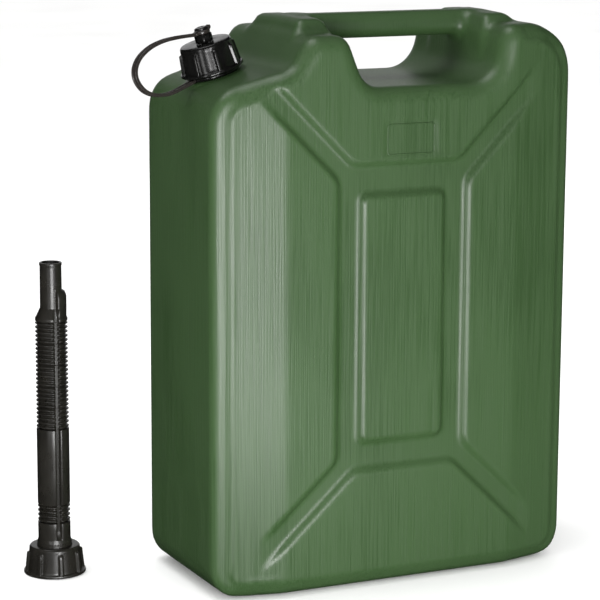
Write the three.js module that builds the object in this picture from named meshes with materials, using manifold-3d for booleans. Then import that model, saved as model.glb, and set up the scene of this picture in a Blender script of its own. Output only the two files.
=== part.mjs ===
// A 20 litre blow-moulded fuel jerrycan with its tethered screw cap, and the flexible pouring spout that
// screws onto the same neck, standing beside it. Millimetres, +Z up. The origin is the middle of the
// can's base; X runs along the can's width, and its broad faces look along -Y and +Y.
import * as THREE from "three";
import { mergeVertices } from "three/addons/utils/BufferGeometryUtils.js";
import Module from "manifold-3d";

const wasm = await Module();
wasm.setup();

// ---- Driving dimensions ----
const WIDTH = 345;
const DEPTH = 175;
const WALL = 3;
const EDGE_ROUNDING = 10;
const PLAN_CORNER_RADIUS = 10;
const FACET = { from: 110, slope: 0.217 };
const GAP = 0.3;

const BASE_CORNER_RADIUS = 28;
const RIGHT_TOP = 486;
const RIGHT_CORNER_RADIUS = 45;
const LEFT_POST_TOP = 481.5;
const NOTCH_FLOOR = 436.5;
const RIDGE = {
  top: 495, bottom: 462, width: 34, length: 98, slope: 7, cornerRadius: 9, left: -68, right: 113.5,
};
const BAR = { bottom: 471.5, top: 495, depth: 28, chamfer: 7.5, from: -60, to: 106 };

const PANEL = { halfWidth: 40, bottom: 130, top: 347 };
const CHANNEL_WIDTH = 21.5;
const CHANNEL_DEPTH = 5;
const ARM_WIDTH = 17.7;
const ARM_ROOT = 8;
const ARM_REACH = 150;
const ARM_SLOPE = THREE.MathUtils.degToRad(44.5);

const NECK_TILT = THREE.MathUtils.degToRad(16.5);
const NECK_BASE = new THREE.Vector3(-139.2, 0, 444);
const NECK = { radius: 18.2, bore: 15.2, height: 24.5, bossRadius: 24, bossHeight: 1, buried: 14 };
const THREAD = { pitch: 6, outerCrest: 20, innerCrest: 18.8, rootHalf: 1.4, crestHalf: 0.7 };

const GRIP = {
  height: 24.8, rimRadius: 27.6, rimHeight: 2.4, foot: 24.5, shoulder: 22.2, top: 21.4,
  bore: 20.5, ceiling: 21.9,
};
const RIB = {
  count: 8, width: 3.6, root: 20.9, footRadius: 26.9, headRadius: 24.9, foot: 1, head: 20.1, phase: -0.9,
};
const CAP_FLOOR = 5.2;
const THREAD_START = 11;

const STUD = { hub: 7.6, barb: 5, shank: 2.9, neck: 3.4, head: 6, hubTop: 37.3, eyeTop: 40.8, top: 43.2 };
const COLLAR = { inner: 18.6, outer: 23, bottom: 1.4, top: 4.4 };
const EYE = { inner: 3.8, outer: 7, reach: 8.9, tab: 8.6 };
const STRAP = { thickness: 3, width: 5.6 };
const STRAP_BEARING = THREE.MathUtils.degToRad(20);
// Strap centre line, from the collar round to the eye, as distances (outward from the neck's axis,
// along that axis) in the strap's own plane.
const STRAP_ROUTE = [
  [23.3, 2.9], [36, 2.5], [49, 2.2], [59, 3.4], [70, 7.3], [77.5, 12.6], [81.9, 19], [83.8, 26],
  [82.8, 32], [79.5, 37], [73.5, 41.4], [65, 44.4], [55, 45.9], [42, 45.6], [28, 43.4], [17, 41],
  [9.6, 39.2],
];

const SPOUT = new THREE.Vector3(-264, 71, 0);
const TUBE = { radius: 14.3, bore: 11.6, flare: 15.2, flareTop: 28, flareEnd: 33 };
const FLANGE = { radius: 19.4, bottom: 19.5, top: 21.6 };
const SPOUT_HOLE = 15.6;
const SPOUT_GASKET = { inner: 12.4, bottom: 17.2 };
const STATION = {
  shortBellows: 46.4, midTube: 62.9, longBellows: 131.6, taper: 228, nozzle: 239.5, tip: 279.5,
};
const BELLOWS = { crest: 14.3, valley: 12.4, bore: 10.8 };
const LONG_SEGMENTS = 5;
const RIDGES_PER_SEGMENT = 5;
const SHORT_RIDGES = 4;
const NOZZLE = { radius: 9.9, bore: 7.9 };
const ROUND_SEGMENTS = 28;

// ---- Materials ----
const green = new THREE.MeshStandardMaterial({ color: 0x3f5f3a, roughness: 0.42, metalness: 0 });
const glossBlack = new THREE.MeshStandardMaterial({ color: 0x0d0c0b, roughness: 0.18, metalness: 0 });
const satinBlack = new THREE.MeshStandardMaterial({ color: 0x1f1d1a, roughness: 0.4, metalness: 0 });
const strapGrey = new THREE.MeshStandardMaterial({ color: 0x2e2a28, roughness: 0.45, metalness: 0 });
const rubber = new THREE.MeshStandardMaterial({ color: 0x161616, roughness: 0.8, metalness: 0 });

// ---- Solids ----
function solidOf(geometry) {
  const bare = geometry.clone();
  bare.deleteAttribute("normal");
  bare.deleteAttribute("uv");
  const merged = mergeVertices(bare, 1e-4);
  const vertProperties = new Float32Array(merged.attributes.position.array);
  const triVerts = new Uint32Array(merged.index.array);
  return new wasm.Manifold(new wasm.Mesh({ numProp: 3, vertProperties, triVerts }));
}

function geometryOf(solid) {
  const mesh = solid.getMesh();
  const geometry = new THREE.BufferGeometry();
  geometry.setAttribute("position", new THREE.BufferAttribute(mesh.vertProperties, 3));
  geometry.setIndex(new THREE.BufferAttribute(mesh.triVerts, 1));
  geometry.computeVertexNormals();
  return geometry;
}

function joined(geometries) {
  return geometries.map(solidOf).reduce((sum, solid) => sum.add(solid));
}

// Stands a geometry drawn in its own x, y, z on the axes u, v and u x v.
function stoodOn(geometry, u, v, origin = new THREE.Vector3()) {
  const basis = new THREE.Matrix4().makeBasis(u, v, new THREE.Vector3().crossVectors(u, v));
  return geometry.applyMatrix4(basis.setPosition(origin));
}

const AXIS_X = new THREE.Vector3(1, 0, 0);
const AXIS_Y = new THREE.Vector3(0, 1, 0);
const AXIS_Z = new THREE.Vector3(0, 0, 1);

function polygon(corners) {
  return new THREE.Shape(corners.map(([x, y]) => new THREE.Vector2(x, y)));
}

// A closed outline from [x, y, radius] corners, listed anticlockwise, each rounded by an arc.
function roundedShape(corners) {
  const shape = new THREE.Shape();
  const points = corners.map(([x, y]) => new THREE.Vector2(x, y));
  points.forEach((corner, index) => {
    const radius = corners[index][2];
    const before = points.at(index - 1).clone().sub(corner).normalize();
    const after = points[(index + 1) % points.length].clone().sub(corner).normalize();
    const halfAngle = Math.acos(before.dot(after)) / 2;
    const bisector = before.clone().add(after).normalize();
    const centre = corner.clone().addScaledVector(bisector, radius / Math.sin(halfAngle));
    const start = corner.clone().addScaledVector(before, radius / Math.tan(halfAngle)).sub(centre);
    const end = corner.clone().addScaledVector(after, radius / Math.tan(halfAngle)).sub(centre);
    const clockwise = before.cross(after) > 0;
    shape.absarc(centre.x, centre.y, radius, start.angle(), end.angle(), clockwise);
  });
  return shape;
}

// A plate of the outline, drawn in X and Z and centred on Y, with rounded edges. It is inset all round.
function edgeRoundedPlate(shape, depth, rounding, inset) {
  const edge = rounding - inset;
  const straight = depth - 2 * rounding;
  const settings = {
    depth: straight, curveSegments: 4, bevelEnabled: true, bevelSegments: 3,
    bevelThickness: edge, bevelSize: edge, bevelOffset: -rounding,
  };
  const geometry = new THREE.ExtrudeGeometry(shape, settings).translate(0, 0, -straight / 2);
  return stoodOn(geometry, AXIS_X, AXIS_Z);
}

function turned(profile, segments = ROUND_SEGMENTS) {
  const points = profile.map(([radius, height]) => new THREE.Vector2(radius, height));
  return new THREE.LatheGeometry(points, segments).rotateX(Math.PI / 2);
}

function tube(inner, outer, bottom, top, segments = ROUND_SEGMENTS) {
  return turned([[inner, bottom], [outer, bottom], [outer, top], [inner, top], [inner, bottom]], segments);
}

function plug(radius, bottom, top, segments = ROUND_SEGMENTS) {
  return turned([[0, bottom], [radius, bottom], [radius, top], [0, top]], segments);
}

// A right-handed thread ridge of trapezoid section, round the Z axis, its ends tapered into the wall.
function threadRidge(rootRadius, crestRadius, from, length) {
  const steps = Math.round((length / THREAD.pitch) * ROUND_SEGMENTS);
  const positions = [];
  const indices = [];
  for (let step = 0; step <= steps; step += 1) {
    const angle = (step / ROUND_SEGMENTS) * 2 * Math.PI;
    const height = from + (THREAD.pitch * step) / ROUND_SEGMENTS;
    const fade = Math.min(1, step / 4, (steps - step) / 4);
    const crest = THREE.MathUtils.lerp(rootRadius, crestRadius, 0.25 + 0.75 * fade);
    const section = [
      [rootRadius, -THREAD.rootHalf], [crest, -THREAD.crestHalf],
      [crest, THREAD.crestHalf], [rootRadius, THREAD.rootHalf],
    ];
    section.forEach(([radius, rise]) => {
      positions.push(radius * Math.cos(angle), radius * Math.sin(angle), height + rise);
    });
  }
  for (let step = 0; step < steps; step += 1) {
    for (let side = 0; side < 4; side += 1) {
      const here = 4 * step + side;
      const next = 4 * step + ((side + 1) % 4);
      indices.push(here, here + 4, next, next, here + 4, next + 4);
    }
  }
  const last = 4 * steps;
  indices.push(0, 1, 2, 0, 2, 3, last, last + 2, last + 1, last, last + 3, last + 2);
  if (crestRadius < rootRadius) {
    for (let corner = 0; corner < indices.length; corner += 3) {
      [indices[corner + 1], indices[corner + 2]] = [indices[corner + 2], indices[corner + 1]];
    }
  }
  const geometry = new THREE.BufferGeometry();
  geometry.setAttribute("position", new THREE.Float32BufferAttribute(positions, 3));
  geometry.setIndex(indices);
  return geometry;
}

// ---- Can body ----
const shoulderHeight = (x) => NECK_BASE.z + (x - NECK_BASE.x) * Math.tan(NECK_TILT);

function bodyOutline() {
  return roundedShape([
    [-WIDTH / 2, 0, BASE_CORNER_RADIUS],
    [WIDTH / 2, 0, BASE_CORNER_RADIUS],
    [WIDTH / 2, RIGHT_TOP, RIGHT_CORNER_RADIUS],
    [100, RIGHT_TOP, 12],
    [91, NOTCH_FLOOR, 30],
    [-33.6, NOTCH_FLOOR, 22],
    [-51.5, LEFT_POST_TOP, 12],
    [-86, LEFT_POST_TOP, 12],
    [-103, shoulderHeight(-103), 18],
    [-WIDTH / 2, shoulderHeight(-WIDTH / 2), 32],
  ]);
}

function rectangle(halfWidth, bottom, top, radius) {
  return roundedShape([
    [-halfWidth, bottom, radius], [halfWidth, bottom, radius],
    [halfWidth, top, radius], [-halfWidth, top, radius],
  ]);
}

// The sunk channels of one broad face: a ring round the middle panel, and an arm to each corner.
function channelCutter(inset) {
  const ring = rectangle(PANEL.halfWidth + CHANNEL_WIDTH + inset, PANEL.bottom - CHANNEL_WIDTH - inset,
    PANEL.top + CHANNEL_WIDTH + inset, 6);
  ring.holes.push(rectangle(PANEL.halfWidth - inset, PANEL.bottom + inset, PANEL.top - inset, 4));
  const depth = CHANNEL_DEPTH + 2;
  const cut = (shape) => new THREE.ExtrudeGeometry(shape, { depth, curveSegments: 2, bevelEnabled: false });
  const half = ARM_WIDTH / 2 + inset;
  const arms = [1, -1].flatMap((side) => [PANEL.top, PANEL.bottom].map((height) => {
    const up = height === PANEL.top ? 1 : -1;
    const arm = cut(polygon([[0, -half], [ARM_REACH, -half], [ARM_REACH, half], [0, half]]));
    const bearing = Math.atan2(up * Math.sin(ARM_SLOPE), side * Math.cos(ARM_SLOPE));
    arm.rotateZ(bearing);
    return arm.translate(side * (PANEL.halfWidth + ARM_ROOT), height + up * ARM_ROOT, 0);
  }));
  const floor = DEPTH / 2 - CHANNEL_DEPTH - inset;
  return joined([cut(ring), ...arms].map((piece) => stoodOn(piece.translate(0, 0, floor), AXIS_X, AXIS_Z)));
}

function chamferedRectangle(halfWidth, halfHeight, chamfer) {
  return polygon([
    [halfWidth, -halfHeight + chamfer], [halfWidth, halfHeight - chamfer],
    [halfWidth - chamfer, halfHeight], [-halfWidth + chamfer, halfHeight],
    [-halfWidth, halfHeight - chamfer], [-halfWidth, -halfHeight + chamfer],
    [-halfWidth + chamfer, -halfHeight], [halfWidth - chamfer, -halfHeight],
  ]);
}

function handleBar(inset) {
  const height = BAR.top - BAR.bottom;
  const shape = chamferedRectangle(BAR.depth / 2 - inset, height / 2 - inset, BAR.chamfer);
  const bar = new THREE.ExtrudeGeometry(shape, { depth: BAR.to - BAR.from, bevelEnabled: false });
  return stoodOn(bar, AXIS_Y, AXIS_Z, new THREE.Vector3(BAR.from, 0, BAR.bottom + height / 2));
}

function ridge(middle, inset) {
  const { top, bottom, width, length, slope, cornerRadius } = RIDGE;
  const end = length / 2 - inset;
  const shape = rectangle(width / 2 - inset, -end, end, cornerRadius);
  const settings = {
    depth: top - bottom - 2 * slope - inset, curveSegments: 2, bevelEnabled: true, bevelSegments: 2,
    bevelThickness: slope, bevelSize: slope, bevelOffset: -slope,
  };
  return new THREE.ExtrudeGeometry(shape, settings).translate(middle, 0, bottom + slope);
}

// A tall post with the body's plan: the broad faces slope back towards the four rounded upright edges.
function planPost(inset) {
  const { from, slope } = FACET;
  const steepness = Math.hypot(1, slope);
  const side = WIDTH / 2 - inset;
  const face = DEPTH / 2 - inset;
  const crease = from - (inset * (steepness - 1)) / slope;
  const corner = face - slope * (side - crease);
  const radius = PLAN_CORNER_RADIUS - inset;
  const half = [[crease, -face, 3], [side, -corner, radius], [side, corner, radius], [crease, face, 3]];
  const plan = roundedShape([...half, ...half.map(([x, y, r]) => [-x, -y, r])]);
  return new THREE.ExtrudeGeometry(plan, { depth: RIDGE.top, curveSegments: 4, bevelEnabled: false });
}

// The body's form inside a skin of the given thickness: inset 0 is the outside, inset WALL the hollow.
function bodyForm(inset) {
  const plate = edgeRoundedPlate(bodyOutline(), DEPTH, EDGE_ROUNDING, inset);
  const block = solidOf(plate).intersect(solidOf(planPost(inset)));
  const onTop = joined([handleBar(inset), ridge(RIDGE.left, inset), ridge(RIDGE.right, inset)]);
  const whole = block.add(onTop);
  const frontChannels = channelCutter(inset);
  const backChannels = frontChannels.mirror([0, 1, 0]);
  return whole.subtract(frontChannels).subtract(backChannels);
}

const neckUp = new THREE.Vector3(-Math.sin(NECK_TILT), 0, Math.cos(NECK_TILT));
const neckAcross = new THREE.Vector3(Math.cos(NECK_TILT), 0, Math.sin(NECK_TILT));
const onNeck = (geometry) => stoodOn(geometry, neckAcross, AXIS_Y, NECK_BASE);

function canBody() {
  const neck = joined([
    onNeck(turned([
      [0, -NECK.buried], [NECK.bossRadius, -NECK.buried], [NECK.bossRadius, NECK.bossHeight],
      [NECK.radius, NECK.bossHeight], [NECK.radius, NECK.height], [0, NECK.height],
    ])),
    onNeck(threadRidge(NECK.radius - 0.4, THREAD.outerCrest, THREAD_START, 10)),
  ]);
  const bore = solidOf(onNeck(plug(NECK.bore, -NECK.buried - 10, NECK.height + 5)));
  return bodyForm(0).add(neck).subtract(bodyForm(WALL)).subtract(bore);
}

// ---- Screw cap and spout ring: the same ribbed grip ----
function gripRib(index) {
  const shape = polygon([
    [RIB.root, RIB.foot], [RIB.footRadius, RIB.foot], [RIB.headRadius, RIB.head - 1],
    [RIB.headRadius - 1.4, RIB.head], [RIB.root, RIB.head],
  ]);
  const rib = new THREE.ExtrudeGeometry(shape, { depth: RIB.width, bevelEnabled: false });
  stoodOn(rib.translate(0, 0, -RIB.width / 2), AXIS_X, AXIS_Z);
  return rib.rotateZ(RIB.phase + (index / RIB.count) * 2 * Math.PI);
}

// Rim at height 0, open underneath; hole is the radius of the opening in its top.
function ribbedGrip(hole) {
  const shell = turned([
    [GRIP.bore, 0], [GRIP.rimRadius, 0], [GRIP.rimRadius, GRIP.rimHeight], [GRIP.foot, GRIP.rimHeight],
    [GRIP.shoulder, GRIP.height - 1], [GRIP.top, GRIP.height], [hole, GRIP.height], [hole, GRIP.ceiling],
    [GRIP.bore, GRIP.ceiling], [GRIP.bore, 0],
  ], 40);
  const ribs = Array.from({ length: RIB.count }, (_, index) => gripRib(index));
  const threadFoot = THREAD_START - THREAD.pitch / 2 - CAP_FLOOR;
  const thread = threadRidge(GRIP.bore + 0.4, THREAD.innerCrest, threadFoot, 8);
  return joined([shell, ...ribs, thread]);
}

function capShell() {
  const grip = geometryOf(ribbedGrip(STUD.shank + GAP));
  return solidOf(onNeck(grip.translate(0, 0, CAP_FLOOR)));
}

function capGasket() {
  return solidOf(onNeck(tube(14.8, 20, NECK.height + GAP, CAP_FLOOR + GRIP.ceiling - GAP)));
}

function capStud() {
  const capTop = CAP_FLOOR + GRIP.height;
  const ceiling = CAP_FLOOR + GRIP.ceiling;
  const pin = turned([
    [0, ceiling - 1.8], [STUD.barb, ceiling - 1.8], [STUD.barb, ceiling - GAP], [STUD.shank, ceiling - GAP],
    [STUD.shank, capTop + GAP], [STUD.neck, capTop + 1], [STUD.neck, STUD.eyeTop + 0.4],
    [STUD.head, STUD.eyeTop + 0.4], [STUD.head, STUD.top - 1], [STUD.head - 1.5, STUD.top], [0, STUD.top],
  ]);
  const hub = plug(STUD.hub, capTop + GAP, STUD.hubTop, 8);
  return joined([onNeck(pin), onNeck(hub)]);
}

// ---- Tether: collar, strap and eye ----
const strapOut = new THREE.Vector3()
  .addScaledVector(neckAcross, -Math.cos(STRAP_BEARING))
  .addScaledVector(AXIS_Y, -Math.sin(STRAP_BEARING));
const inStrapPlane = (geometry) => stoodOn(geometry, strapOut, neckUp, NECK_BASE);

// A ribbon of the strap's width, drawn as a shape in the strap's plane.
function strapPlate(shape) {
  const plate = new THREE.ExtrudeGeometry(shape, { depth: STRAP.width, bevelEnabled: false });
  return inStrapPlane(plate.translate(0, 0, -STRAP.width / 2));
}

function tetherCollar() {
  const { inner, outer, bottom, top } = COLLAR;
  const middle = (inner + outer) / 2;
  const root = polygon([[middle, bottom], [outer, bottom], [outer, top], [middle, top]]);
  return joined([onNeck(tube(inner, outer, bottom, top)), strapPlate(root)]);
}

function tetherStrap() {
  const steps = 44;
  const route = new THREE.CatmullRomCurve3(STRAP_ROUTE.map(([out, up]) => new THREE.Vector3(out, up, 0)));
  const sides = [1, -1].map((side) => Array.from({ length: steps + 1 }, (_, step) => {
    const point = route.getPointAt(step / steps);
    const along = route.getTangentAt(step / steps);
    const offset = (side * STRAP.thickness) / 2;
    return new THREE.Vector2(point.x - along.y * offset, point.y + along.x * offset);
  }));
  return solidOf(strapPlate(new THREE.Shape([...sides[1], ...sides[0].reverse()])));
}

function tetherEye() {
  const bottom = STUD.hubTop + GAP;
  const top = STUD.eyeTop;
  const root = EYE.outer - 1.5;
  const arm = polygon([[root, bottom + 0.2], [EYE.reach, bottom + 0.2], [EYE.reach, top], [root, top]]);
  const tab = polygon([
    [-EYE.tab, bottom + 2.4], [-root, bottom + 0.2], [-root, top], [-EYE.tab, top + 1.6],
  ]);
  return joined([onNeck(tube(EYE.inner, EYE.outer, bottom, top, 24)), strapPlate(arm), strapPlate(tab)]);
}

// ---- Pouring spout ----
const onSpout = (geometry) => geometry.translate(SPOUT.x, SPOUT.y, SPOUT.z);

function spoutBaseTube() {
  const top = STATION.shortBellows - GAP / 2;
  return solidOf(onSpout(turned([
    [TUBE.bore, FLANGE.bottom], [FLANGE.radius, FLANGE.bottom], [FLANGE.radius, FLANGE.top],
    [TUBE.flare, FLANGE.top], [TUBE.flare, TUBE.flareTop], [TUBE.radius, TUBE.flareEnd], [TUBE.radius, top],
    [TUBE.bore, top], [TUBE.bore, FLANGE.bottom],
  ])));
}

// A run of bellows between two heights: outside it zigzags from valley to crest, inside it is plain.
function bellows(from, to, ridges) {
  const bottom = from + GAP / 2;
  const top = to - GAP / 2;
  const pitch = (top - bottom) / ridges;
  const profile = [[BELLOWS.bore, bottom], [BELLOWS.valley, bottom]];
  for (let index = 0; index < ridges; index += 1) {
    profile.push([BELLOWS.crest, bottom + (index + 0.5) * pitch]);
    profile.push([BELLOWS.valley, bottom + (index + 1) * pitch]);
  }
  profile.push([BELLOWS.bore, top], [BELLOWS.bore, bottom]);
  return solidOf(onSpout(turned(profile, 24)));
}

function spoutNozzle() {
  const { taper, nozzle, tip } = STATION;
  return solidOf(onSpout(turned([
    [BELLOWS.bore, taper + GAP / 2], [TUBE.radius, taper + GAP / 2], [NOZZLE.radius, nozzle],
    [NOZZLE.radius, tip], [NOZZLE.bore, tip], [NOZZLE.bore, nozzle], [BELLOWS.bore, taper + GAP / 2],
  ])));
}

// ---- Assembly ----
const group = new THREE.Group();

function addPart(name, solid, material) {
  const mesh = new THREE.Mesh(geometryOf(solid), material);
  mesh.name = name;
  group.add(mesh);
}

addPart("can_body", canBody(), green);
addPart("cap_shell", capShell(), glossBlack);
addPart("cap_gasket", capGasket(), rubber);
addPart("cap_stud", capStud(), glossBlack);
addPart("tether_collar", tetherCollar(), glossBlack);
addPart("tether_strap", tetherStrap(), strapGrey);
addPart("tether_eye", tetherEye(), strapGrey);

const { shortBellows, midTube, longBellows, taper } = STATION;
const midHeights = [midTube + GAP / 2, longBellows - GAP / 2];
const spoutGasket = tube(SPOUT_GASKET.inner, FLANGE.radius, SPOUT_GASKET.bottom, FLANGE.bottom - GAP);
addPart("spout_ring", solidOf(onSpout(geometryOf(ribbedGrip(SPOUT_HOLE)))), satinBlack);
addPart("spout_gasket", solidOf(onSpout(spoutGasket)), rubber);
addPart("spout_base_tube", spoutBaseTube(), satinBlack);
addPart("spout_short_bellows", bellows(shortBellows, midTube, SHORT_RIDGES), satinBlack);
addPart("spout_mid_tube", solidOf(onSpout(tube(TUBE.bore, TUBE.radius, ...midHeights))), satinBlack);
for (let index = 0; index < LONG_SEGMENTS; index += 1) {
  const length = (taper - longBellows) / LONG_SEGMENTS;
  const from = longBellows + index * length;
  addPart(`spout_long_bellows_${index + 1}`, bellows(from, from + length, RIDGES_PER_SEGMENT), satinBlack);
}
addPart("spout_nozzle", spoutNozzle(), satinBlack);

export default group;
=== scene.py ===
"""A moulded plastic 20 litre jerrycan with a tethered screw cap, and its flexible pouring spout beside it.

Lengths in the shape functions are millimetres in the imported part's own frame: X along the can's width,
Y through its depth, Z up, with the origin in the middle of the can's base. Pieces are built in metres.
"""
import math

import bmesh
import bpy
import numpy as np
import openvdb
from mathutils import Matrix, Vector


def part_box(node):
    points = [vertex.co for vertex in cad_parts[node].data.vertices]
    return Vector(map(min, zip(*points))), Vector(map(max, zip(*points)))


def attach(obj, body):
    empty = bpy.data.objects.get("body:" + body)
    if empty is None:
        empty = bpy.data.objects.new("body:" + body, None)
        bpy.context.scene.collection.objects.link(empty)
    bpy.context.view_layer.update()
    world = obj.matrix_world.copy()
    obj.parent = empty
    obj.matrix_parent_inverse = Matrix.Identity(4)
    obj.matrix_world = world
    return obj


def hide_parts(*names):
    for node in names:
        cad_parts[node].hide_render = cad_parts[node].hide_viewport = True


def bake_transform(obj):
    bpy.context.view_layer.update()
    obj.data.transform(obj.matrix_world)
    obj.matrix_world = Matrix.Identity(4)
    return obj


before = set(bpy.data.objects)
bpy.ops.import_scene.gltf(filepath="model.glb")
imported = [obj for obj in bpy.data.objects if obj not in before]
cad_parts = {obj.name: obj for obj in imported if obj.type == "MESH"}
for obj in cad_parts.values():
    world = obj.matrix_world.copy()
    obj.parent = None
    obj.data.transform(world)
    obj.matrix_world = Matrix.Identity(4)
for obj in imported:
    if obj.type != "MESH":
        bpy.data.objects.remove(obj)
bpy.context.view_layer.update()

MM = 0.001


def cad_box(node):
    """A CAD node's lowest and highest corners in millimetres."""
    return [np.array(corner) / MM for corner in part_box(node)]


# ---- Driving dimensions ----
BODY_LOW, BODY_HIGH = cad_box("can_body")
HALF_WIDTH = BODY_HIGH[0]
HALF_DEPTH = BODY_HIGH[1]
BODY_TOP = BODY_HIGH[2]

NECK_TILT = math.radians(16.5)
NECK_BASE = np.array([-139.2, 0.0, 444.0])
NECK_ACROSS = np.array([math.cos(NECK_TILT), 0.0, math.sin(NECK_TILT)])
NECK_UP = np.array([-math.sin(NECK_TILT), 0.0, math.cos(NECK_TILT)])

RING_LOW, RING_HIGH = cad_box("spout_ring")
SPOUT_BASE = np.array([*(RING_LOW[:2] + RING_HIGH[:2]) / 2, 0.0])

NOTCH_FLOOR = 436.5
RIGHT_TOP = 486.0
LEFT_POST_TOP = 481.5


# ---- Meshes ----
def piece(name, body, material, points, faces, replaced=()):
    """A mesh from points in millimetres, riding on a CAD body."""
    mesh = bpy.data.meshes.new(name)
    mesh.from_pydata((np.asarray(points) * MM).tolist(), [], faces)
    facing_out = bmesh.new()
    facing_out.from_mesh(mesh)
    bmesh.ops.recalc_face_normals(facing_out, faces=facing_out.faces)
    facing_out.to_mesh(mesh)
    facing_out.free()
    mesh.materials.append(material)
    mesh.shade_smooth()
    made = bpy.data.objects.new(name, mesh)
    bpy.context.scene.collection.objects.link(made)
    if body:
        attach(made, body)
    if replaced:
        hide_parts(*replaced)
    return made


def grid_faces(rows, columns, close_rows=True, close_columns=True, first=0):
    """Quads between the points of a grid, numbered row by row, closed on itself either way."""
    faces = []
    for row in range(rows if close_rows else rows - 1):
        for column in range(columns if close_columns else columns - 1):
            here = first + row * columns
            there = first + ((row + 1) % rows) * columns
            after = (column + 1) % columns
            faces.append((here + column, there + column, there + after, here + after))
    return faces


def joined(parts):
    """Several (points, faces) as one."""
    points, faces, count = [], [], 0
    for part_points, part_faces in parts:
        points.append(np.asarray(part_points))
        faces += [tuple(index + count for index in face) for face in part_faces]
        count += len(part_points)
    return np.concatenate(points), faces


def rounded(corners, closed=True, degrees_per_step=12):
    """Points along a line of (x, y, radius) corners, each rounded by an arc."""
    points = []
    count = len(corners)
    for index, (x, y, radius) in enumerate(corners):
        corner = np.array([x, y], float)
        at_end = not closed and index in (0, count - 1)
        if radius <= 0 or at_end:
            points.append(corner)
            continue
        before = np.array(corners[index - 1][:2], float) - corner
        after = np.array(corners[(index + 1) % count][:2], float) - corner
        before /= np.linalg.norm(before)
        after /= np.linalg.norm(after)
        half = math.acos(np.clip(before @ after, -1, 1)) / 2
        middle = (before + after) / np.linalg.norm(before + after)
        centre = corner + middle * radius / math.sin(half)
        sweep = math.pi - 2 * half
        steps = max(2, math.ceil(math.degrees(sweep) / degrees_per_step))
        turn = 1 if before[0] * after[1] - before[1] * after[0] < 0 else -1
        start = corner + before * radius / math.tan(half) - centre
        for step in range(steps + 1):
            angle = turn * sweep * step / steps
            c, s = math.cos(angle), math.sin(angle)
            points.append(centre + np.array([c * start[0] - s * start[1], s * start[0] + c * start[1]]))
    return np.array(points)


def turned(profile, angles, radius_at=None):
    """A closed (radius, height) profile swept through all the angles. radius_at may alter the radii."""
    profile = np.asarray(profile, float)
    radii = np.tile(profile[:, 0], (len(angles), 1))
    heights = np.tile(profile[:, 1], (len(angles), 1))
    if radius_at is not None:
        radii = radius_at(radii, heights, np.asarray(angles)[:, None])
    across = np.cos(angles)[:, None] * radii
    along = np.sin(angles)[:, None] * radii
    points = np.stack([across, along, heights], axis=-1).reshape(-1, 3)
    return points, grid_faces(len(angles), len(profile))


def even_angles(count):
    return np.arange(count) / count * 2 * math.pi


def on_neck(points):
    points = np.asarray(points)
    across, up = points[:, :1] * NECK_ACROSS, points[:, 2:] * NECK_UP
    return NECK_BASE + across + points[:, 1:2] * np.array([0.0, 1.0, 0.0]) + up


def on_spout(points):
    return np.asarray(points) + SPOUT_BASE


def smoothstep(value, start, end):
    t = np.clip((value - start) / (end - start), 0, 1)
    return t * t * (3 - 2 * t)


# ---- Materials ----
def principled(name, color, roughness, specular=0.5):
    """A material with its Principled node, and an object-space coordinate to drive textures with."""
    material = bpy.data.materials.new(name)
    material.use_nodes = True
    nodes, links = material.node_tree.nodes, material.node_tree.links
    shader = nodes["Principled BSDF"]
    shader.inputs["Base Color"].default_value = (*color, 1)
    shader.inputs["Roughness"].default_value = roughness
    shader.inputs["Specular IOR Level"].default_value = specular
    place = nodes.new("ShaderNodeTexCoord").outputs["Object"]
    return material, nodes, links, shader, place


def noise(nodes, links, place, scale, detail=3.0, roughness=0.5):
    """Noise of a scale, per metre, along each axis."""
    mapping = nodes.new("ShaderNodeMapping")
    mapping.inputs["Scale"].default_value = scale
    links.new(place, mapping.inputs["Vector"])
    texture = nodes.new("ShaderNodeTexNoise")
    texture.inputs["Scale"].default_value = 1.0
    texture.inputs["Detail"].default_value = detail
    texture.inputs["Roughness"].default_value = roughness
    links.new(mapping.outputs["Vector"], texture.inputs["Vector"])
    return texture.outputs["Fac"]


def ramp(nodes, links, value, low, high, start=0.3, end=0.7):
    """Maps a value between start and end to a grey or colour between low and high."""
    made = nodes.new("ShaderNodeValToRGB")
    first, last = made.color_ramp.elements
    first.position, last.position = start, end
    first.color = (*low, 1) if hasattr(low, "__len__") else (low, low, low, 1)
    last.color = (*high, 1) if hasattr(high, "__len__") else (high, high, high, 1)
    links.new(value, made.inputs["Fac"])
    return made.outputs["Color"]


def bump(nodes, links, shader, value, strength, distance, base=None):
    made = nodes.new("ShaderNodeBump")
    made.inputs["Strength"].default_value = strength
    made.inputs["Distance"].default_value = distance
    links.new(value, made.inputs["Height"])
    if base is not None:
        links.new(base, made.inputs["Normal"])
    links.new(made.outputs["Normal"], shader.inputs["Normal"])
    return made.outputs["Normal"]


def green_plastic():
    """Polyethylene as it leaves the blow mould: a satin skin with fine upright streaks from the die."""
    dark, light = (0.0225, 0.0515, 0.0150), (0.0305, 0.0645, 0.0212)
    material, nodes, links, shader, place = principled("green_polyethylene", dark, 0.42)
    streaks = noise(nodes, links, place, (800, 800, 11), 2, 0.5)
    clouds = noise(nodes, links, place, (9, 9, 5), 3)
    tone = nodes.new("ShaderNodeMath")
    tone.operation = "ADD"
    links.new(clouds, tone.inputs[0])
    links.new(streaks, tone.inputs[1])
    links.new(ramp(nodes, links, tone.outputs["Value"], dark, light, 0.8, 1.2), shader.inputs["Base Color"])
    links.new(ramp(nodes, links, streaks, 0.34, 0.48), shader.inputs["Roughness"])
    fine = bump(nodes, links, shader, streaks, 0.48, 0.00045)
    grain = noise(nodes, links, place, (520, 520, 260), 2)
    bump(nodes, links, shader, grain, 0.12, 0.0001, fine)
    return material


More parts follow.
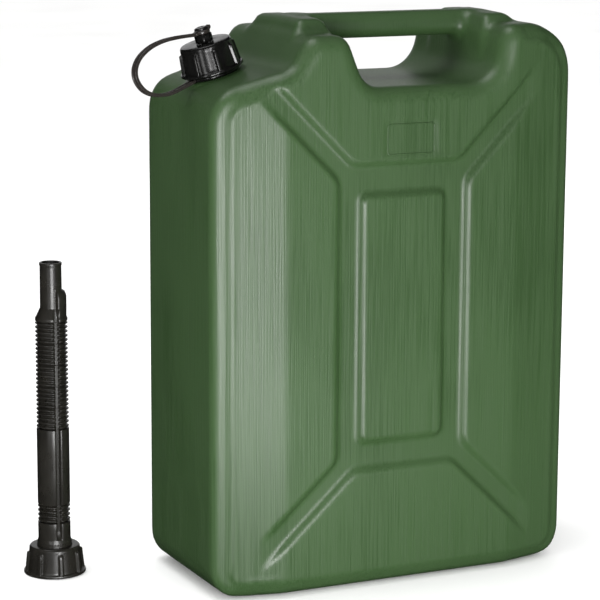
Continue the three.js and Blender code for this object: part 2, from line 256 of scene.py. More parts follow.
def black_plastic(name, color, roughness, scuffed):
    """Injection-moulded black plastic, with faint flow and handling marks."""
    material, nodes, links, shader, place = principled(name, color, roughness[0])
    marks = noise(nodes, links, place, (140, 140, 90), 5, 0.65)
    links.new(ramp(nodes, links, marks, roughness[0], roughness[1]), shader.inputs["Roughness"])
    tone = noise(nodes, links, place, (60, 60, 60), 3)
    pale = tuple(channel * (1 + scuffed) + 0.002 * scuffed for channel in color)
    links.new(ramp(nodes, links, tone, color, pale), shader.inputs["Base Color"])
    bump(nodes, links, shader, noise(nodes, links, place, (900, 900, 500), 2), 0.08, 0.0001)
    return material


def rubber_material():
    material, nodes, links, shader, place = principled("gasket_rubber", (0.012, 0.012, 0.012), 0.75, 0.35)
    grain = noise(nodes, links, place, (1500, 1500, 1500), 3)
    links.new(ramp(nodes, links, grain, 0.66, 0.84), shader.inputs["Roughness"])
    bump(nodes, links, shader, grain, 0.2, 0.0001)
    return material


GREEN = green_plastic()
GLOSS = black_plastic("gloss_black", (0.0035, 0.0035, 0.0033), (0.13, 0.24), 0.3)
SATIN = black_plastic("satin_black", (0.0085, 0.0078, 0.0062), (0.25, 0.35), 0.5)
STRAP = black_plastic("strap_grey", (0.016, 0.0138, 0.0125), (0.18, 0.28), 0.4)
RUBBER = rubber_material()


# ---- Can body: a smooth solid described by a field, zero on its skin and negative inside ----
VOXEL = np.array([2.2, 3.3, 2.5])
MARGIN = 3
OUTLINE_BLURS = 3
SETTLING_STEPS = 3
END_ROUNDING = (145, 166)
FILLET = {"ridge": 7, "bar": 9, "boss": 3, "arm": 5}
EDGE = {"side": 6.5, "end": 15.0}
FACET = {"from": 110.0, "slope": 0.217, "crease": 3.0}
OUTLINE = [
    (-HALF_WIDTH, 0, 28), (HALF_WIDTH, 0, 28), (HALF_WIDTH, RIGHT_TOP, 45), (100, RIGHT_TOP, 14),
    (91, NOTCH_FLOOR, 30), (-33.6, NOTCH_FLOOR, 22), (-51.5, LEFT_POST_TOP, 14), (-86, LEFT_POST_TOP, 14),
    (-103, 454.7, 20), (-HALF_WIDTH, 434.1, 32),
]


def distance_to_line(points, line, closed=True):
    """Distance from each 2-D point to a line of straight pieces, and whether it is inside a closed one."""
    nearest = np.full(len(points), np.inf)
    inside = np.zeros(len(points), bool)
    count = len(line)
    for index in range(count if closed else count - 1):
        a, b = line[index], line[(index + 1) % count]
        along = b - a
        offset = points - a
        t = np.clip((offset @ along) / (along @ along), 0, 1)
        nearest = np.minimum(nearest, np.linalg.norm(offset - t[:, None] * along, axis=1))
        if closed and a[1] != b[1]:
            crosses = (a[1] > points[:, 1]) != (b[1] > points[:, 1])
            inside ^= crosses & (points[:, 0] < a[0] + (points[:, 1] - a[1]) * along[0] / along[1])
    return nearest, inside


def signed_distance(points, line):
    nearest, inside = distance_to_line(points, line)
    return np.where(inside, -nearest, nearest)


def box_distance(offset, half, radius):
    """Signed distance to a box of the half sizes with rounded edges, from offsets to its middle."""
    beyond = [np.abs(o) - (h - radius) for o, h in zip(offset, half)]
    outside = np.sqrt(sum(np.maximum(b, 0) ** 2 for b in beyond))
    return outside + np.minimum(np.maximum.reduce(np.broadcast_arrays(*beyond)), 0) - radius


def smooth_union(a, b, blend):
    """The lower of two fields, with a fillet where they meet."""
    h = np.maximum(blend - np.abs(a - b), 0) / blend
    return np.minimum(a, b) - h * h * blend / 4


def softened(field, passes):
    """A 2-D field with its creases rounded off by a small blur."""
    for _ in range(passes):
        for axis in (0, 1):
            padded = np.concatenate([field.take([0], axis), field, field.take([-1], axis)], axis)
            low = padded.take(range(0, padded.shape[axis] - 2), axis)
            high = padded.take(range(2, padded.shape[axis]), axis)
            field = field / 2 + (low + high) / 4
    return field


PANEL = {"half_width": 40.0, "bottom": 130.0, "top": 346.0}
RING = {"half_width": 61.5, "bottom": 106.0, "top": 372.0}
CHANNEL_DEPTH = 5.0
CHANNEL_WALL = 2.6
CHANNEL_ENDS = (6.5, 12.5)
NOTCH_SHADOW = {"height": (395, 415), "width": (112, 124)}
ARM_HALF_WIDTH = 9.0
ARMS = [
    ((-48, 358.8), (-150, 460.8)), ((50, 355.5), (150, 458.6)),
    ((-48, 115.5), (-150, 22.1)), ((50, 119.5), (150, 22.1)),
]
BORDER = {"valley": 10.2, "crest": 14.8, "depth": 1.9, "lip": 0.5, "lip_at": 16.4, "lip_width": 1.8}
FRAME = {"left": -17.0, "right": 29.0, "bottom": 379.0, "top": 406.0, "sunk": 0.9}
FRAME_LINE = [(0.0, -0.5), (0.25, 0.62), (0.95, 0.62), (1.2, -0.5)]
FRAME_CORNER = 3


def channel_distance(points):
    """Signed distance to the sunk channels of a broad face: a ring round the middle panel, and four arms."""
    def frame_distance(size, radius):
        middle = (size["bottom"] + size["top"]) / 2
        offset = (points[:, 0], points[:, 1] - middle)
        return box_distance(offset, (size["half_width"], size["top"] - middle), radius)
    found = np.maximum(frame_distance(RING, 7), -frame_distance(PANEL, 6))
    for start, end in ARMS:
        line = np.array([start, end], float)
        arm = distance_to_line(points, line, closed=False)[0] - ARM_HALF_WIDTH
        found = smooth_union(found, arm, FILLET["arm"])
    return found


def facet_fall(x):
    """How far a broad face has sloped back towards the sides, from a soft crease."""
    beyond = np.abs(x) - FACET["from"]
    crease = FACET["crease"]
    eased = np.clip(beyond + crease, 0, 2 * crease) ** 2 / (4 * crease)
    return FACET["slope"] * np.maximum(beyond, eased)


def face_relief(points, outline):
    """How deep the broad faces lie under their highest level."""
    fall = facet_fall(points[:, 0])
    channels = smoothstep(-channel_distance(points), -CHANNEL_WALL, CHANNEL_WALL)
    channels = channels * smoothstep(-outline, *CHANNEL_ENDS)
    sunk = np.maximum(CHANNEL_DEPTH - fall, 0) * channels
    beside_notch = smoothstep(np.abs(points[:, 0]), *NOTCH_SHADOW["width"])
    under_notch = smoothstep(points[:, 1], *NOTCH_SHADOW["height"]) * (1 - beside_notch)
    border = smoothstep(-outline, BORDER["crest"], BORDER["valley"]) * (1 - under_notch)
    half = ((FRAME["right"] - FRAME["left"]) / 2, (FRAME["top"] - FRAME["bottom"]) / 2)
    middle = (FRAME["left"] + half[0], FRAME["bottom"] + half[1])
    pad = box_distance((points[:, 0] - middle[0], points[:, 1] - middle[1]), half, 4)
    plate = smoothstep(-pad, -3.5, -0.5) * FRAME["sunk"]
    lip = np.exp(-((-outline - BORDER["lip_at"]) / BORDER["lip_width"]) ** 2) * smoothstep(fall, 0.6, 2)
    raised = BORDER["lip"] * lip * (1 - under_notch) * (1 - channels)
    return fall - raised + np.maximum.reduce([sunk, border * BORDER["depth"], plate])


RIDGES = [
    {"middle": -68.0, "half_width": 17.0}, {"middle": 113.0, "half_width": 17.0},
]
RIDGE_HALF_LENGTH = 49.0
BAR = {"from": -62.0, "to": 112.0, "middle": 483.2, "half_height": 11.2, "half_depth": 14.0, "chamfer": 6.5}
BOSS = {"radius": 25.0, "height": 1.2}
BORE = {"radius": 15.2, "bottom": -70.0, "top": 40.0}


def ridge_field(x, y, z, middle, half_width):
    """A raised block across the top of a post, its sides sloping in towards the top."""
    lowest, top = 440.0, BODY_TOP - 1.2
    sloping = 0.42 * np.maximum(z - 480, 0)
    doming = 1.5 * (y / RIDGE_HALF_LENGTH) ** 2
    offset = (x - middle, y, z + doming - (lowest + top) / 2)
    half = (half_width - sloping, RIDGE_HALF_LENGTH - 0.9 * sloping, (top - lowest) / 2)
    return box_distance(offset, half, 5.0)


def bar_field(x, y, z):
    """The carrying handle: a long bar of eight-sided section."""
    up, out = np.abs(z - BAR["middle"]), np.abs(y)
    flats = np.maximum(up - BAR["half_height"], out - BAR["half_depth"])
    corner = (up + out - (BAR["half_height"] + BAR["half_depth"] - BAR["chamfer"])) / math.sqrt(2)
    ends = np.abs(x - (BAR["from"] + BAR["to"]) / 2) - (BAR["to"] - BAR["from"]) / 2
    section = -smooth_union(-flats, -corner, 2.5)
    return np.maximum(section, ends)


def neck_coordinates(x, y, z):
    """Distance from the neck's axis, and height along it from the shoulder."""
    dx, dz = x - NECK_BASE[0], z - NECK_BASE[2]
    across = dx * NECK_ACROSS[0] + dz * NECK_ACROSS[2]
    return np.sqrt(across ** 2 + y ** 2), dx * NECK_UP[0] + dz * NECK_UP[2]


def body_field(x, y, z):
    """The whole moulding: a rounded slab with sunk faces, then the ridges, the bar and the neck's boss."""
    plane = np.stack(np.broadcast_arrays(x[:, 0, :], z[:, 0, :]), axis=-1)
    flat_points = plane.reshape(-1, 2)
    outline = signed_distance(flat_points, rounded(OUTLINE, degrees_per_step=6))
    relief = face_relief(flat_points, outline).reshape(plane.shape[:2])
    outline = softened(outline.reshape(plane.shape[:2]), OUTLINE_BLURS)
    edge = EDGE["end"] + (EDGE["side"] - EDGE["end"]) * smoothstep(np.abs(x), *END_ROUNDING)
    beside = outline[:, None, :] + edge
    through = np.abs(y) + relief[:, None, :] - HALF_DEPTH + edge
    rim = np.sqrt(np.maximum(beside, 0) ** 2 + np.maximum(through, 0) ** 2)
    field = rim + np.minimum(np.maximum(beside, through), 0) - edge
    for ridge in RIDGES:
        field = smooth_union(field, ridge_field(x, y, z, **ridge), FILLET["ridge"])
    field = smooth_union(field, bar_field(x, y, z), FILLET["bar"])
    radius, height = neck_coordinates(x, y, z)
    boss = np.maximum(radius - BOSS["radius"], np.abs(height + 12) - 12 - BOSS["height"])
    field = smooth_union(field, boss, FILLET["boss"])
    bore = np.maximum(radius - BORE["radius"], BORE["bottom"] - height)
    field = np.maximum(field, -np.maximum(bore, height - BORE["top"]))
    return np.maximum(field, z - BODY_TOP + 0.2)


def sampled(grid, places):
    """Values of a 3-D grid between its points, at places in grid steps."""
    low = np.clip(np.floor(places).astype(int), 0, np.array(grid.shape) - 2)
    part = places - low
    total = np.zeros(len(places))
    for corner in np.ndindex(2, 2, 2):
        weight = np.prod(np.where(corner, part, 1 - part), axis=1)
        at = low + corner
        total += weight * grid[at[:, 0], at[:, 1], at[:, 2]]
    return total


def body_mesh():
    """Quads on the skin of the body's field, each point settled onto it, with the field's own normals."""
    low = BODY_LOW - MARGIN * VOXEL
    counts = np.ceil((BODY_HIGH + MARGIN * VOXEL - low) / VOXEL).astype(int) + 1
    x, y, z = (low[k] + np.arange(counts[k]) * VOXEL[k] for k in range(3))
    field = body_field(x[:, None, None], y[None, :, None], z[None, None, :]).astype(np.float32)
    grid = openvdb.FloatGrid()
    grid.background = 10.0
    grid.copyFromArray(field)
    places, quads = grid.convertToQuads(0.0)
    slopes = [np.gradient(field, VOXEL[k], axis=k) for k in range(3)]
    places = places.astype(float)
    for _ in range(SETTLING_STEPS):
        normal = np.stack([sampled(s, places) for s in slopes], axis=1)
        step = sampled(field, places) / np.maximum((normal ** 2).sum(axis=1), 0.05)
        places -= np.clip(step, -0.8, 0.8)[:, None] * normal / VOXEL
    normal = np.stack([sampled(s, places) for s in slopes], axis=1)
    normal /= np.linalg.norm(normal, axis=1, keepdims=True)
    return low + places * VOXEL, quads, normal


def can_body():
    points, quads, normals = body_mesh()
    made = piece("jerrycan_body", "can", GREEN, points, quads.tolist(), ["can_body"])
    made.data.normals_split_custom_set_from_vertices(normals.tolist())


def blank_frame():
    """A plain raised frame line on the shallow pad above the middle panel, where such cans carry a mark."""
    rows = []
    for inward, out in FRAME_LINE:
        left, right = FRAME["left"] + inward, FRAME["right"] - inward
        bottom, top = FRAME["bottom"] + inward, FRAME["top"] - inward
        radius = FRAME_CORNER - inward
        line = rounded([(left, bottom, radius), (right, bottom, radius), (right, top, radius),
                        (left, top, radius)])
        depth = HALF_DEPTH - FRAME["sunk"] + out
        rows.append([(x, -depth, z) for x, z in line])
    faces = grid_faces(len(rows), len(rows[0]))
    piece("blank_frame_line", "can", GREEN, np.concatenate(rows), faces)


# ---- Screw threads ----
THREAD_PITCH = 6.0


def thread(root, crest, start, length, place, steps_per_turn=48):
    """A helical ridge of trapezoid section from the root radius to the crest, tapered at both ends."""
    steps = round(length / THREAD_PITCH * steps_per_turn)
    rows = []
    for step in range(steps + 1):
        angle = step / steps_per_turn * 2 * math.pi
        height = start + THREAD_PITCH * step / steps_per_turn
        fade = smoothstep(np.array(min(step, steps - step)), 0, 8)
        top = root + (crest - root) * (0.15 + 0.85 * fade)
        for radius, rise in ((root, -1.4), (top, -0.6), (top, 0.6), (root, 1.4)):
            rows.append((radius * math.cos(angle), radius * math.sin(angle), height + rise))
    faces = grid_faces(steps + 1, 4, close_rows=False)
    last = 4 * steps
    faces += [(0, 1, 2, 3), (last + 3, last + 2, last + 1, last)]
    return place(rows), faces


# ---- Neck ----
def neck():
    """The moulded neck that stands in the body's boss, and its thread."""
    profile = rounded([
        (15.2, -8, 0), (18.2, -8, 0), (18.2, 24.5, 0.8), (15.2, 24.5, 0.8),
    ])
    tube, faces = turned(profile, even_angles(96))
    parts = [(on_neck(tube), faces), thread(17.9, 20.0, 11, 10, on_neck)]
    points, faces = joined(parts)
    piece("neck_finish", "can", GREEN, points, faces)


# ---- The ribbed grip shared by the cap and the spout's ring ----
GRIP = {
    "height": 24.8, "rim": 27.6, "rim_height": 2.4, "foot": 24.5, "shoulder": 22.4, "top": 21.3,
    "bore": 20.5, "ceiling": 21.9,
}
RIB = {"count": 8, "width": 3.6, "foot": 26.9, "head": 24.9, "top": 20.1, "phase": -0.9}
RIB_SHARES = [-1.35, -1.1, -0.9, -0.65, -0.3, 0, 0.3, 0.65, 0.9, 1.1, 1.35]
STEPS_BETWEEN_RIBS = 13
CAP_FLOOR = 5.2
GRIP_THREAD = {"root": GRIP["bore"] + 0.3, "crest": 18.8, "start": 11 - THREAD_PITCH / 2, "length": 8}


def rib_angles():
    """Angles packed closely across each rib's sides, and evenly between ribs."""
    angles = []
    half = RIB["width"] / 2 / RIB["foot"]
    pitch = 2 * math.pi / RIB["count"]
    for rib in range(RIB["count"]):
        middle = RIB["phase"] + rib * pitch
        angles += [middle + half * share for share in RIB_SHARES]
        gap = pitch - 2 * RIB_SHARES[-1] * half
        angles += [middle + RIB_SHARES[-1] * half + gap * step / STEPS_BETWEEN_RIBS
                   for step in range(1, STEPS_BETWEEN_RIBS)]
    return np.array(angles)


def rib_radius(radii, heights, angles):
    """Raises the outer wall into ribs."""
    pitch = 2 * math.pi / RIB["count"]
    off = np.abs((angles - RIB["phase"] + pitch / 2) % pitch - pitch / 2) * RIB["foot"]
    across = 1 - smoothstep(off, RIB["width"] / 2 - 0.35, RIB["width"] / 2 + 0.35)
    crest = RIB["foot"] + (RIB["head"] - RIB["foot"]) * (heights - 1) / (RIB["top"] - 1)
    under_top = 1 - smoothstep(heights, RIB["top"] - 0.9, RIB["top"] + 0.3)
    is_outside = radii > GRIP["bore"] + 0.6
    return radii + is_outside * across * under_top * np.maximum(crest - radii, 0)


def grip_profile(hole):
    wall = [(GRIP["foot"] - 2.1 * share, GRIP["rim_height"] + 19.6 * share, 0) for share in
            (0.12, 0.3, 0.5, 0.7, 0.84, 0.87, 0.9, 0.94)]
    return rounded([
        (GRIP["bore"], 0, 0.4), (GRIP["rim"], 0, 0.7), (GRIP["rim"] - 0.3, GRIP["rim_height"], 0.7),
        (GRIP["foot"], GRIP["rim_height"], 0.6), *wall, (GRIP["shoulder"], 23.3, 0.7),
        (GRIP["top"], GRIP["height"], 0.7), (hole, GRIP["height"], 0.3), (hole, GRIP["ceiling"], 0.3),
        (GRIP["bore"], GRIP["ceiling"], 0.4),
    ], degrees_per_step=30)


def ribbed_grip(name, body, material, hole, raised, place, node):
    points, faces = turned(grip_profile(hole), rib_angles(), rib_radius)
    points = place(points + [0, 0, raised])
    start = GRIP_THREAD["start"] - CAP_FLOOR + raised
    inner = thread(GRIP_THREAD["root"], GRIP_THREAD["crest"], start, GRIP_THREAD["length"], place)
    points, faces = joined([(points, faces), inner])
    piece(name, body, material, points, faces, [node])


# ---- Cap stud ----
STUD_SHANK = 2.9


def cap_stud():
    """A snap-in stud on the cap: a faceted hub, a pin through the tether's eye, and a rivet head."""
    def faceted(radii, heights, angles):
        eighth = math.pi / 4
        off = (angles + eighth / 2) % eighth - eighth / 2
        is_hub = (radii > 6.3) & (heights < 37.5)
        return np.where(is_hub, radii * math.cos(eighth / 2) / np.cos(off), radii)
    profile = rounded([
        (0.05, 25.3, 0), (5, 25.3, 0.4), (5, 26.8, 0.3), (STUD_SHANK, 26.8, 0), (STUD_SHANK, 30.3, 0),
        (7.6, 30.3, 0.3), (7.6, 36.6, 0), (6.9, 37.3, 0), (3.4, 37.3, 0), (3.4, 41.2, 0),
        (6.0, 41.2, 0.4), (6.0, 42.6, 0.8), (4.2, 43.2, 0.6), (0.05, 43.2, 0),
    ], degrees_per_step=30)
    points, faces = turned(profile, even_angles(64), faceted)
    piece("cap_stud_and_rivet", "cap", GLOSS, on_neck(points), faces, ["cap_stud"])


# ---- Tether ----
STRAP_HALF = {"width": 2.8, "bead": 1.7, "web": 1.3, "thick": 1.45, "thin": 0.9}
STRAP_BEARING = math.radians(20)
STRAP_OUT = -math.cos(STRAP_BEARING) * NECK_ACROSS - math.sin(STRAP_BEARING) * np.array([0, 1.0, 0])
STRAP_SIDE = np.cross(STRAP_OUT, NECK_UP)
STRAP_ROUTE = [
    (23.0, 2.9), (36, 2.5), (49, 2.2), (59, 3.4), (70, 7.3), (77.5, 12.6), (81.9, 19), (83.8, 26),
    (82.8, 32), (79.5, 37), (73.5, 41.4), (65, 44.4), (55, 45.9), (42, 45.6), (28, 43.4), (17, 41),
    (8.9, 39.1),
]


def in_strap_plane(points):
    points = np.asarray(points, float)
    return NECK_BASE + points[:, :1] * STRAP_OUT + points[:, 1:2] * NECK_UP + points[:, 2:] * STRAP_SIDE


def smooth_route(route, steps=8):
    """A smooth line through the points, bending evenly at each."""
    route = np.asarray(route, float)
    ends = np.vstack([2 * route[0] - route[1], route, 2 * route[-1] - route[-2]])
    points = []
    for index in range(1, len(ends) - 2):
        p0, p1, p2, p3 = ends[index - 1:index + 3]
        for step in range(steps):
            t = step / steps
            points.append(0.5 * (2 * p1 + (p2 - p0) * t + (2 * p0 - 5 * p1 + 4 * p2 - p3) * t ** 2
                                 + (3 * p1 - p0 - 3 * p2 + p3) * t ** 3))
    return np.array([*points, route[-1]])


def tether_strap():
    """A flat moulded strap with a bead along each edge, looping from the collar out and over to the eye."""
    width, bead, web, thick, thin = STRAP_HALF.values()
    under = [(-width, -thick, 0.35), (-bead, -thick, 0.3), (-web, -thin, 0.2), (web, -thin, 0.2),
             (bead, -thick, 0.3), (width, -thick, 0.35)]
    over = [(across, -up, radius) for across, up, radius in under[::-1]]
    section = rounded([*under, *over], degrees_per_step=45)
    route = smooth_route(STRAP_ROUTE)
    along = np.gradient(route, axis=0)
    along /= np.linalg.norm(along, axis=1, keepdims=True)
    across = np.stack([-along[:, 1], along[:, 0]], axis=1)
    rows = []
    for place, side in zip(route, across):
        for sideways, up in section:
            rows.append((*(place + side * up), sideways))
    faces = grid_faces(len(route), len(section), close_rows=False)
    count = len(section)
    faces += [tuple(range(count))[::-1], tuple(range(len(rows) - count, len(rows)))]
    points = in_strap_plane(rows)
    made = piece("tether_strap_loop", None, STRAP, points, faces, ["tether_strap"])
    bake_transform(made)


def rounded_block(low, high, radius, rows=6):
    """A block in the strap's plane from (out, up, side) low to high, its four long edges rounded."""
    section = rounded([
        (low[1], low[2], radius), (high[1], low[2], radius), (high[1], high[2], radius),
        (low[1], high[2], radius),
    ], degrees_per_step=30)
    points = []
    for out in np.linspace(low[0], high[0], rows):
        points += [(out, up, side) for up, side in section]
    faces = grid_faces(rows, len(section), close_rows=False)
    count = len(section)
    faces += [tuple(range(count))[::-1], tuple(range(len(points) - count, len(points)))]
    return points, faces


def tether_eye():
    """The eye on the strap's upper end, with its thumb tab on the far side."""
    profile = rounded([(3.9, 37.6, 0.4), (7.0, 37.6, 0.8), (7.0, 40.8, 0.8), (3.9, 40.8, 0.4)],
                      degrees_per_step=30)
    ring, ring_faces = turned(profile, even_angles(48))
    arm, arm_faces = rounded_block((6.2, 37.9, -2.8), (8.8, 40.7, 2.8), 0.5)
    tab, tab_faces = rounded_block((-8.6, 37.9, -2.8), (-6.2, 40.7, 2.8), 0.6)
    tab = [(out, up + 0.8 * max(0, -out - 6.2), side) for out, up, side in tab]
    points, faces = joined([
        (on_neck(ring), ring_faces), (in_strap_plane(arm), arm_faces), (in_strap_plane(tab), tab_faces),
    ])
    piece("tether_eye_ring", "cap_carrier", STRAP, points, faces, ["tether_eye"])


def tether_collar():
    profile = rounded([(18.6, 1.4, 0.5), (23, 1.4, 0.9), (23, 4.4, 0.9), (18.6, 4.4, 0.5)],
                      degrees_per_step=30)
    points, faces = turned(profile, even_angles(96))
    piece("tether_collar_ring", "can", GLOSS, on_neck(points), faces, ["tether_collar"])


# ---- Pouring spout ----
STATION = {"base": 19.6, "short": 46.4, "middle": 62.9, "long": 131.6, "taper": 228.0, "nozzle": 239.5}
TIP = cad_box("spout_nozzle")[1][2]
TUBE_RADIUS = 14.3
BELLOWS_VALLEY = 12.1
TUBE_BORE = 10.8
BELLOWS_BORE = 10.8
NOZZLE_RADIUS = 9.7
GROOVES = (math.radians(-90), math.radians(0))
LOBE = math.radians(-45)
GROOVE = {"half_width": 1.9, "depth": 3.0, "from": 31.0}
VENT_TOP = 255.0
VENT_REACH = {"radius": 12.6, "swell": 0.9, "swells": (237.5, 239), "ends": (250.5, 252)}
LOBE_EDGE = (math.radians(36), math.radians(42))
GAP = 0.05
SEGMENTS = 5
RIDGES_PER_SEGMENT = 5
SHORT_BELLOWS_RIDGES = 4


def angle_between(a, b):
    return np.abs((a - b + math.pi) % (2 * math.pi) - math.pi)


def vent_radius(radii, heights, angles):
    """Sinks the two grooves that set the vent channel off from the main tube."""
    deep = np.zeros_like(radii)
    for groove in GROOVES:
        off = angle_between(angles, groove) * radii
        across = 1 - smoothstep(off, GROOVE["half_width"] - 0.5, GROOVE["half_width"] + 0.5)
        deep = np.maximum(deep, across * smoothstep(heights, GROOVE["from"], GROOVE["from"] + 1.5))
    outside = radii > TUBE_BORE + 0.35
    floor = np.minimum(radii, TUBE_RADIUS - GROOVE["depth"])
    return np.where(outside, radii + (floor - radii) * deep, radii)


def nozzle_radius(radii, heights, angles):
    """Carries the vent channel up beside the nozzle to its open end."""
    lobe = 1 - smoothstep(angle_between(angles, LOBE), *LOBE_EDGE)
    below_top = 1 - smoothstep(heights, VENT_TOP - 1.2, VENT_TOP)
    swelling = smoothstep(heights, *VENT_REACH["swells"]) * (1 - smoothstep(heights, *VENT_REACH["ends"]))
    reach = VENT_REACH["radius"] + VENT_REACH["swell"] * swelling
    outside = radii > NOZZLE_RADIUS - 0.6
    raised = radii + outside * lobe * below_top * np.maximum(reach - radii, 0)
    grooved = vent_radius(raised, heights, angles)
    in_taper = heights < STATION["nozzle"]
    return np.where(in_taper, np.maximum(grooved, np.where(outside, NOZZLE_RADIUS, radii)), raised)


def vent_angles(count=72):
    """Angles spread evenly, and packed closely across the two grooves."""
    extra = [groove + off / TUBE_RADIUS for groove in GROOVES
             for off in (-2.3, -2.0, -1.7, -1.4, -1.0, -0.5, 0, 0.5, 1.0, 1.4, 1.7, 2.0, 2.3)]
    kept = [a for a in even_angles(count) if min(angle_between(a, g) for g in GROOVES) > 0.19]
    return np.array(sorted(a % (2 * math.pi) for a in [*kept, *extra]))


def spout_piece(name, body, profile, node, radius_at=vent_radius):
    points, faces = turned(profile, vent_angles(), radius_at)
    piece(name, body, SATIN, on_spout(points), faces, [node])


def base_tube():
    top = STATION["short"] - GAP
    profile = rounded([
        (TUBE_BORE, 19.6, 0.3), (19.3, 19.6, 0.3), (19.3, 21.5, 0.3), (15.3, 21.5, 0.5), (15.3, 28, 1),
        (TUBE_RADIUS, 31, 1), (TUBE_RADIUS, 33, 0), (TUBE_RADIUS, 40, 0), (TUBE_RADIUS, top, 0.3),
        (TUBE_BORE, top, 0.3),
    ], degrees_per_step=30)
    spout_piece("spout_lower_tube", "spout", profile, "spout_base_tube")


def middle_tube():
    low, high = STATION["middle"] + GAP, STATION["long"] - GAP
    profile = rounded([
        (TUBE_BORE, low, 0.3), (TUBE_RADIUS, low, 0.5), (TUBE_RADIUS, 90, 0), (TUBE_RADIUS, 110, 0),
        (TUBE_RADIUS, high, 0.5), (TUBE_BORE, high, 0.3),
    ], degrees_per_step=30)
    spout_piece("spout_middle_tube", "spout_middle", profile, "spout_mid_tube")


def bellows(name, low, high, ridges, node):
    """A run of rounded ridges that spans one hinge, half way up it."""
    pitch = (high - low) / ridges
    steps = 10 * ridges
    outer = []
    for step in range(steps + 1):
        height = low + (high - low) * step / steps
        wave = 0.5 - 0.5 * math.cos(2 * math.pi * (height - low) / pitch)
        outer.append((BELLOWS_VALLEY + (TUBE_RADIUS - BELLOWS_VALLEY) * wave, height))
    inner = [(BELLOWS_BORE, high - (high - low) * step / 8) for step in range(9)]
    points, faces = turned([*outer, *inner], vent_angles(), vent_radius)
    made = piece(name, None, SATIN, on_spout(points), faces, [node])
    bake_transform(made)


def spout_bellows():
    bellows("spout_short_bellows_run", STATION["short"] + GAP, STATION["middle"] - GAP,
            SHORT_BELLOWS_RIDGES, "spout_short_bellows")
    length = (STATION["taper"] - STATION["long"]) / SEGMENTS
    for index in range(SEGMENTS):
        low = STATION["long"] + index * length
        bellows(f"spout_long_bellows_run_{index + 1}", low + 0.02, low + length - 0.02, RIDGES_PER_SEGMENT,
                f"spout_long_bellows_{index + 1}")


def nozzle():
    low = STATION["taper"] + GAP
    heights = np.linspace(STATION["nozzle"], TIP - 3.4, 26)
    rise = heights[-1] - heights[0]
    wall = [(NOZZLE_RADIUS - 0.2 * (h - heights[0]) / rise, h, 0) for h in heights[1:-1]]
    profile = rounded([
        (BELLOWS_BORE, low, 0.3), (14.2, low, 0.3), (14.2, low + 2.6, 0.8), (13.4, low + 3.6, 0.5),
        (NOZZLE_RADIUS, STATION["nozzle"], 0.8), *wall, (9.5, TIP - 2.9, 0.3), (9.9, TIP - 2.3, 0.3),
        (9.9, TIP, 0.5), (7.9, TIP, 0.5), (7.9, STATION["nozzle"], 0),
    ], degrees_per_step=30)
    spout_piece("spout_nozzle_tube", "spout_tip", profile, "spout_nozzle", nozzle_radius)


# ---- Camera, floor and lights ----
CAMERA_PLACE = Vector((-0.9540, -1.8868, 0.6501))
CAMERA_AZIMUTH = math.radians(-25.43)
CAMERA_PITCH = math.radians(11.05)
CAMERA_ROLL = math.radians(0.28)
CAMERA_LENS = 144.5
FLOOR_HEIGHT = -0.0005


def camera():
    data = bpy.data.cameras.new("camera")
    data.sensor_width = 36
    data.lens = CAMERA_LENS
    made = bpy.data.objects.new("camera", data)
    bpy.context.scene.collection.objects.link(made)
    forward = Vector((-math.sin(CAMERA_AZIMUTH) * math.cos(CAMERA_PITCH),
                      math.cos(CAMERA_AZIMUTH) * math.cos(CAMERA_PITCH), -math.sin(CAMERA_PITCH)))
    right = forward.cross(Vector((0, 0, 1))).normalized()
    up = right.cross(forward)
    turned_right = math.cos(CAMERA_ROLL) * right + math.sin(CAMERA_ROLL) * up
    turned_up = -math.sin(CAMERA_ROLL) * right + math.cos(CAMERA_ROLL) * up
    basis = Matrix((turned_right, turned_up, -forward)).transposed().to_4x4()
    made.matrix_world = Matrix.Translation(CAMERA_PLACE) @ basis
    bpy.context.scene.camera = made


def floor():
    """A broad pale disc just under the can. Glossy rays pass it, so the sheen comes from the lights alone."""
    rings, sides = [0.5, 1.5, 4.0, 12.0], 48
    points = [(0.0, 0.0, FLOOR_HEIGHT)]
    for radius in rings:
        points += [(radius * math.cos(a), radius * math.sin(a), FLOOR_HEIGHT) for a in even_angles(sides)]
    faces = [(0, 1 + k, 1 + (k + 1) % sides) for k in range(sides)]
    faces += [face[::-1] for face in grid_faces(len(rings), sides, close_rows=False, first=1)]
    mesh = bpy.data.meshes.new("floor")
    mesh.from_pydata(points, [], faces)
    material, nodes, links, shader, place = principled("pale_floor", (0.96, 0.96, 0.955), 0.7, 0.2)
    patches = noise(nodes, links, place, (3, 3, 3))
    links.new(ramp(nodes, links, patches, 0.62, 0.78), shader.inputs["Roughness"])
    mesh.materials.append(material)
    made = bpy.data.objects.new("floor", mesh)
    made.visible_glossy = False
    bpy.context.scene.collection.objects.link(made)


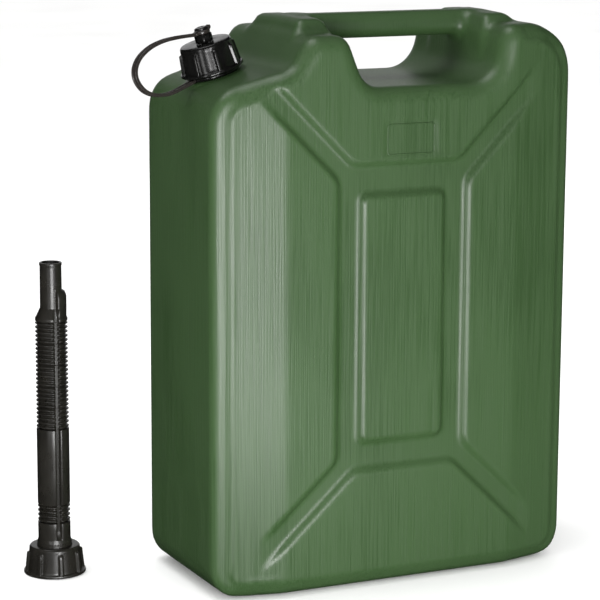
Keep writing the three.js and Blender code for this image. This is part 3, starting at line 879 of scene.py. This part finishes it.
def softbox(name, place, aim, size, power):
    data = bpy.data.lights.new(name, "AREA")
    data.shape = "RECTANGLE"
    data.size, data.size_y = size
    data.energy = power
    made = bpy.data.objects.new(name, data)
    bpy.context.scene.collection.objects.link(made)
    made.location = place
    made.rotation_euler = (Vector(aim) - Vector(place)).to_track_quat("-Z", "Y").to_euler()
    made.visible_camera = False


def lights():
    """An even white surround for the plastic's own colour, and seven softboxes for its sheen."""
    world = bpy.data.worlds.new("studio")
    world.use_nodes = True
    background = world.node_tree.nodes["Background"]
    background.inputs["Color"].default_value = (1, 1, 1, 1)
    background.inputs["Strength"].default_value = 1.15
    world.cycles_visibility.glossy = False
    bpy.context.scene.world = world
    softbox("key_low", (-0.40, -0.95, 0.17), (-0.1, -0.09, 0.14), (0.44, 0.32), 8)
    softbox("key_floor", (-0.13, -0.52, 0.05), (-0.1, -0.08, 0.09), (0.40, 0.08), 0.75)
    softbox("strip_left", (-1.35, -1.0, 0.36), (-0.25, 0, 0.25), (0.26, 0.7), 2.2)
    softbox("strip_front", (-0.27, -1.5, 0.43), (-0.14, 0, 0.42), (0.12, 0.5), 2.4)
    softbox("key_front", (-0.25, -2.2, 0.8), (0, 0, 0.25), (1.5, 1.1), 2)
    softbox("backdrop", (0.9, 2.3, 0.8), (0, 0, 0.4), (2.4, 1.4), 7.5)
    softbox("top", (-0.6, 0.3, 2.2), (0, 0, 0.3), (1.4, 1.0), 16)


bpy.context.scene.view_settings.view_transform = "Standard"
camera()
floor()
lights()
can_body()
blank_frame()
neck()
ribbed_grip("cap_ribbed_shell", "cap", GLOSS, STUD_SHANK + 0.3, CAP_FLOOR, on_neck,
            "cap_shell")
cap_stud()
tether_collar()
tether_strap()
tether_eye()
ribbed_grip("spout_ribbed_ring", "spout_ring_body", SATIN, 15.6, 0.0, on_spout,
            "spout_ring")
base_tube()
spout_bellows()
middle_tube()
nozzle()
for node in ("cap_gasket", "spout_gasket"):
    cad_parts[node].data.materials.clear()
    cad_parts[node].data.materials.append(RUBBER)
